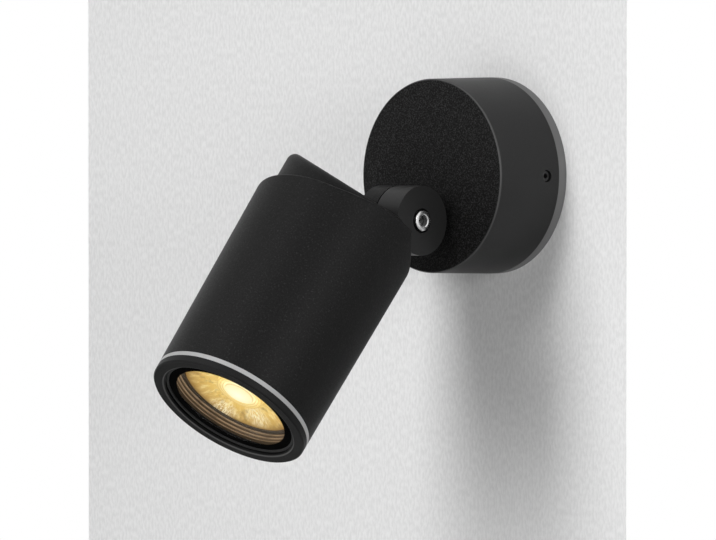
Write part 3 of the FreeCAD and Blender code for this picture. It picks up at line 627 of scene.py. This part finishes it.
def makeHousing():
    # round body with a slanted facet and rounded rear edges, and the moving lug of the knuckle
    s = housingSizes
    body = rod(s["radius"], (0, 0, s["front"]), (0, 0, s["blank"]), s["sides"])
    bpy.ops.object.mode_set(mode="EDIT")
    bpy.ops.mesh.select_all(action="SELECT")
    bpy.ops.mesh.bisect(plane_co=(0, 0, s["middle"] * mm), plane_no=(s["facetFall"], -s["facetRise"], 1),
                        use_fill=True, clear_outer=True)
    onRim = s["radius"] - 0.1
    selectEdges(body, lambda point: point.z > s["front"] + 1 and math.hypot(point.x, point.y) > onRim)
    bpy.ops.mesh.bevel(offset=s["edge"] * mm, segments=s["edgeSteps"], affect="EDGES", clamp_overlap=False)
    clearSelection()
    axisY, axisZ = pivotFromFront.y, pivotFromFront.z

    def acrossRod(radius, left, right, sides=96):
        return rod(radius, (left, axisY, axisZ), (right, axisY, axisZ), sides)

    combine(body, acrossRod(s["scoop"], -s["reach"], s["lugLeft"], 128), "DIFFERENCE")
    combine(body, acrossRod(s["scoop"], s["lugRight"], s["reach"], 128), "DIFFERENCE")
    combine(body, acrossRod(s["lugRadius"], s["lugLeft"], s["lugRight"]), "UNION")
    duct = acrossRod(s["ductOuter"], s["lugRight"] - s["ductDepth"], s["lugRight"] + 1)
    combine(duct, acrossRod(s["ductInner"], s["lugRight"] - s["ductDepth"] - 1, s["lugRight"] + 2), "DIFFERENCE")
    combine(body, duct, "DIFFERENCE")
    combine(body, acrossRod(s["bore"], s["lugLeft"] - 1, s["lugRight"] + 1), "DIFFERENCE")
    combine(body, acrossRod(s["nutPocket"], s["lugLeft"] - 1, s["lugLeft"] + s["nutDepth"]), "DIFFERENCE")
    cavityStart = (s["cavityX"], s["cavityY"], s["front"] - 1)
    combine(body, rod(s["cavity"], cavityStart, (s["cavityX"], s["cavityY"], s["cavityRear"])), "DIFFERENCE")
    for degrees in s["screwAngles"]:
        x = s["screwRing"] * math.cos(math.radians(degrees))
        y = s["screwRing"] * math.sin(math.radians(degrees))
        hole = rod(s["screwHole"], (x, y, s["front"] - 1), (x, y, s["front"] + s["screwReach"]), 24)
        combine(body, hole, "DIFFERENCE")
    settle(body, "rearHousing", headPlace, finishes["sandyCoat"])
    standIn(body, "rear_housing", "head")


makeHousing()
print("rear housing made")


stageSizes = {
    "wallLeft": -0.2432, "wallRight": 0.0718, "wallBottom": -0.36, "wallTop": 0.36, "floorHeight": -0.36,
    "floorWidth": 3.0,
}


def seenFromFront(finish, paint):
    # from behind, the surface lets the view through
    clear = finish.add("ShaderNodeBsdfTransparent")
    behind = finish.add("ShaderNodeNewGeometry").output("Backfacing")
    return finish.finished(finish.add("ShaderNodeMixShader", None, {0: behind, 1: paint, 2: clear}))


def wallPaint():
    # fine brushed texture
    look = {"scale": 900.0, "stretch": (1.0, 1.0, 0.42), "low": 0.38, "high": 0.62, "dark": 0.76, "light": 0.843,
            "relief": 0.12}
    finish = newFinish("wallPaint")
    stipple = finish.stretched(look["scale"], look["stretch"])
    shade = finish.mixColour(finish.step(stipple, look["low"], look["high"]), look["dark"], look["light"])
    paint = finish.skin({"Base Color": shade, "Roughness": 0.9, "Specular IOR Level": 0.1,
                         "Normal": finish.bump(stipple, look["relief"] * mm)})
    return seenFromFront(finish, paint)


def floorPaint():
    finish = newFinish("floorPaint")
    shade = finish.mixColour(finish.noise(6.0), 0.78, 0.82)
    return seenFromFront(finish, finish.skin({"Base Color": shade, "Roughness": 0.9}))


def makeStage():
    s = stageSizes
    clearSelection()
    middle = ((s["wallLeft"] + s["wallRight"]) / 2, 0, (s["wallBottom"] + s["wallTop"]) / 2)
    bpy.ops.mesh.primitive_plane_add(size=1, location=middle, rotation=(math.radians(90), 0, 0))
    wall = bpy.context.object
    wall.name = "wall"
    wall.scale = (s["wallRight"] - s["wallLeft"], s["wallTop"] - s["wallBottom"], 1)
    wall.data.materials.append(wallPaint())
    bpy.ops.object.transform_apply(location=True, rotation=True, scale=True)
    clearSelection()
    bpy.ops.mesh.primitive_plane_add(size=s["floorWidth"], location=(0, 0, s["floorHeight"]))
    floor = bpy.context.object
    floor.name = "floor"
    floor.data.materials.append(floorPaint())


def makeWorld():
    # white for the camera, for gloss and through glass, and a soft grey light for the rest
    look = {"ambient": 0.0315, "background": 1.0}
    world = bpy.data.worlds.new("studio")
    bpy.context.scene.world = world
    sky = Finish(world)
    path = sky.add("ShaderNodeLightPath")
    seen = path.output("Is Camera Ray") + path.output("Is Glossy Ray") + path.output("Is Transmission Ray")
    soft = sky.add("ShaderNodeBackground", None, {"Color": colour(1.0), "Strength": look["ambient"]})
    white = sky.add("ShaderNodeBackground", None, {"Color": colour(1.0), "Strength": look["background"]})
    mixed = sky.add("ShaderNodeMixShader", None, {0: sky.step(seen, 0.0, 1.0), 1: soft, 2: white})
    sky.add("ShaderNodeOutputWorld", None, {"Surface": mixed})


lightLooks = {
    "keyLight": {"azimuth": -4.16, "elevation": 14.0, "distance": 1.4, "size": 0.415, "height": 2.0, "energy": 15.8},
    "sideLight": {"azimuth": 76.4, "elevation": 9.73, "distance": 1.2, "size": 0.5, "height": 0.5, "energy": 6.27},
    "topLight": {"azimuth": -0.6, "elevation": 48.7, "distance": 1.3, "size": 0.8, "height": 0.8, "energy": 1.84},
}
lightAim = Vector((0, -60, -30)) * mm


def outward(azimuth, elevation):
    # direction to a light or the camera, in degrees from straight out of the wall to the right, and up
    azimuth, elevation = math.radians(azimuth), math.radians(elevation)
    return Vector((math.sin(azimuth) * math.cos(elevation), -math.cos(azimuth) * math.cos(elevation),
                   math.sin(elevation)))


def softLight(name, look):
    away = outward(look["azimuth"], look["elevation"])
    light = bpy.data.lights.new(name, "AREA")
    light.shape = "ELLIPSE"
    light.size = look["size"]
    light.size_y = look["height"]
    light.energy = look["energy"]
    lamp = bpy.data.objects.new(name, light)
    bpy.context.scene.collection.objects.link(lamp)
    lamp.location = lightAim + away * look["distance"]
    lamp.rotation_euler = (-away).to_track_quat("-Z", "Y").to_euler()


def makeCamera():
    look = {"target": (-0.07839, 0, -0.03927), "azimuth": 45.374, "elevation": 1.344, "distance": 2.5,
            "focalPixels": 6090.77, "frameWidth": 716, "sensor": 36}
    away = outward(look["azimuth"], look["elevation"])
    lens = bpy.data.cameras.new("camera")
    lens.sensor_width = look["sensor"]
    lens.sensor_fit = "HORIZONTAL"
    lens.lens = look["focalPixels"] * look["sensor"] / look["frameWidth"]
    lens.clip_start = 0.05
    lens.clip_end = 30
    camera = bpy.data.objects.new("camera", lens)
    bpy.context.scene.collection.objects.link(camera)
    camera.location = Vector(look["target"]) + away * look["distance"]
    camera.rotation_euler = (-away).to_track_quat("-Z", "Y").to_euler()
    bpy.context.scene.camera = camera


makeStage()
makeWorld()
for lightName, lightLook in lightLooks.items():
    softLight(lightName, lightLook)
makeCamera()
bpy.context.scene.view_settings.view_transform = "Standard"
print("stage, lights and camera made")
